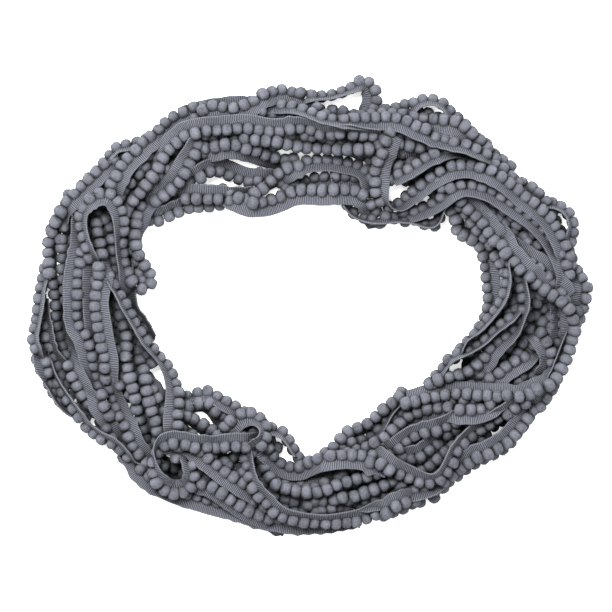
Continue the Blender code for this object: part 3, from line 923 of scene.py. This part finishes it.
# One piece of tape and one of pompoms for each group of runs
groups = {
    "under": "turn0 turn1 turn2 turn3",
    "filling": "turn4 turn5 turn6",
    "left": "leftRim leftSecond leftBetween leftMain leftLow arch archUnder leftInnerLow leftColumn "
            "leftColumnInner innerDiagonal innerDiagonalUnder archHollow looseRim looseInner looseLoop "
            "looseLow",
    "shoulder": "shoulder shoulderRim shoulderEdge shoulderOuter topLong topOuter topHump loopTop topRim",
    "top": "topSecond topShelf loopTopRight topThird topFourth topFourthOn topWavy",
    "innerTop": "topInnerDark topInnerRim topInnerEdge topInnerLow loopInner rightFirst",
    "right": "foldRight rightThird rightFourth rightFifth rightRim loopRight",
    "rightLow": "rightInnerRim rightSixth rightSeventh rightInnerUnder rightUnder rightSeventhOn rightRimLow "
                "rightHollow rightHollowEdge rightHollowWall",
    "bottomRight": "bottomTenth bottomFill innerRimLow innerRimUnder bottomEleventh bottomUnder "
                   "bottomTwelfth bottomThirteenth bottomRim bottomMiddle",
    "bottom": "bottomFront bottomSecond bottomThird bottomFourth bottomEdge",
    "bottomLeft": "bottomLeftRibbed bottomLeftUnder bottomLeftInner bottomLeftSecond bottomLeftThird "
                  "across acrossRight",
}


# The tape and the pompoms of some runs, as two pieces
def makePieces(number, group, members):
    rng = np.random.default_rng(700 + number)
    tapes = []
    balls = []
    for run in members:
        tapes.append(tapeOf(run))
        middle = pompoms[run["stations"]]
        shows = seen[run["stations"]]
        ahead = directions(middle)
        for chosen, forms, yarnEnds in ((shows, fineForms, endForms),
                                        (isPompom[run["stations"]] & ~shows, plainForms, None)):
            if chosen.any():
                balls += pompomsOf(middle[chosen], ahead[chosen], forms, rng, yarnEnds)
    tape = meshOf("tape_" + group, tapes, tapeCloth)
    ball = meshOf("pompoms_" + group, balls, yarn)
    for piece in (tape, ball):
        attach(piece, "root")
        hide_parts("hank")


byName = {run["name"]: run for run in laid}
left = set(byName) - set(" ".join(groups.values()).split())
if left:
    raise SystemExit(f"no group has {sorted(left)}")
for number, (group, members) in enumerate(groups.items()):
    makePieces(number, group, [byName[name] for name in members.split()])


# Floor, light and camera

# Its reach to each side in metres, its clouds in millimetres, and how much it shines of itself
floorSettings = {"reach": 3.0, "clouds": 25, "colour": "fafafa", "glow": 0.6}


# White acrylic sheet lit a little from below: it gives the even, burnt-out white of the photograph's ground
# and keeps a soft shade right under the trim
def floorMaterial():
    material, add = newMaterial("lit_white_acrylic")
    place = add("TexCoord").outputs["Object"]
    clouds = add("TexNoise", Vector=place, Scale=scaleFor(floorSettings["clouds"]), Detail=3.0)
    shade = add("MapRange", Value=clouds, To_Min=0.985, To_Max=1.0)
    colour = add("HueSaturation", Value=shade, Color=linear(floorSettings["colour"]))
    surface = add("BsdfPrincipled", Base_Color=colour, Roughness=0.9, Emission_Color=linear("ffffff"),
                  Emission_Strength=floorSettings["glow"])
    add("OutputMaterial", Surface=surface)
    return material


# The white table that the hank lies on
def addFloor():
    reach = floorSettings["reach"]
    corners = [(-reach, -reach, 0), (reach, -reach, 0), (reach, reach, 0), (-reach, reach, 0)]
    mesh = bpy.data.meshes.new("floor")
    mesh.from_pydata(corners, [], [(0, 1, 2, 3)])
    floor = bpy.data.objects.new("floor", mesh)
    bpy.context.scene.collection.objects.link(floor)
    mesh.materials.append(floorMaterial())


# Where each light stands, its width in metres and its power in watts
lights = {
    "key": ((-0.45, 0.7, 1.5), 0.8, 112.0),
    "fill": ((0.9, -0.5, 1.3), 1.2, 14.0),
}
skyStrength = 0.55


# A square soft light aimed at the middle of the hank
def addLight(name, place, size, power):
    light = bpy.data.lights.new(name, "AREA")
    light.size = size
    light.energy = power
    lamp = bpy.data.objects.new(name, light)
    lamp.location = place
    lamp.rotation_euler = (-Vector(place)).to_track_quat("-Z", "Y").to_euler()
    bpy.context.scene.collection.objects.link(lamp)


# An even white sky, for soft light from all sides
def addSky():
    world = bpy.data.worlds.new("studio")
    world.use_nodes = True
    background = world.node_tree.nodes["Background"]
    background.inputs["Color"].default_value = (1.0, 1.0, 1.0, 1.0)
    background.inputs["Strength"].default_value = skyStrength
    bpy.context.scene.world = world


# Metres, and the sensor in millimetres; the camera is far off with a long lens, so the view is nearly flat
camera = {"distance": 4.0, "aim": 0.012, "sensor": 36.0}


# Straight above, at the photograph's scale
def addCamera():
    field = photo["width"] * photo["mmPerPixel"] * mm
    half = photo["width"] / 2
    lens = bpy.data.cameras.new("camera")
    lens.sensor_width = camera["sensor"]
    lens.lens = camera["sensor"] * camera["distance"] / field
    eye = bpy.data.objects.new("camera", lens)
    eye.location = ((half - photo["centre"][0]) * photo["mmPerPixel"] * mm,
                    (photo["centre"][1] - half) * photo["mmPerPixel"] * mm,
                    camera["distance"] + camera["aim"])
    bpy.context.scene.collection.objects.link(eye)
    bpy.context.scene.camera = eye


addFloor()
for name, (place, size, power) in lights.items():
    addLight(name, place, size, power)
addSky()
addCamera()
bpy.context.scene.view_settings.view_transform = "Standard"
bpy.context.scene.view_settings.look = "None"
print("floor, lights and camera set", flush=True)
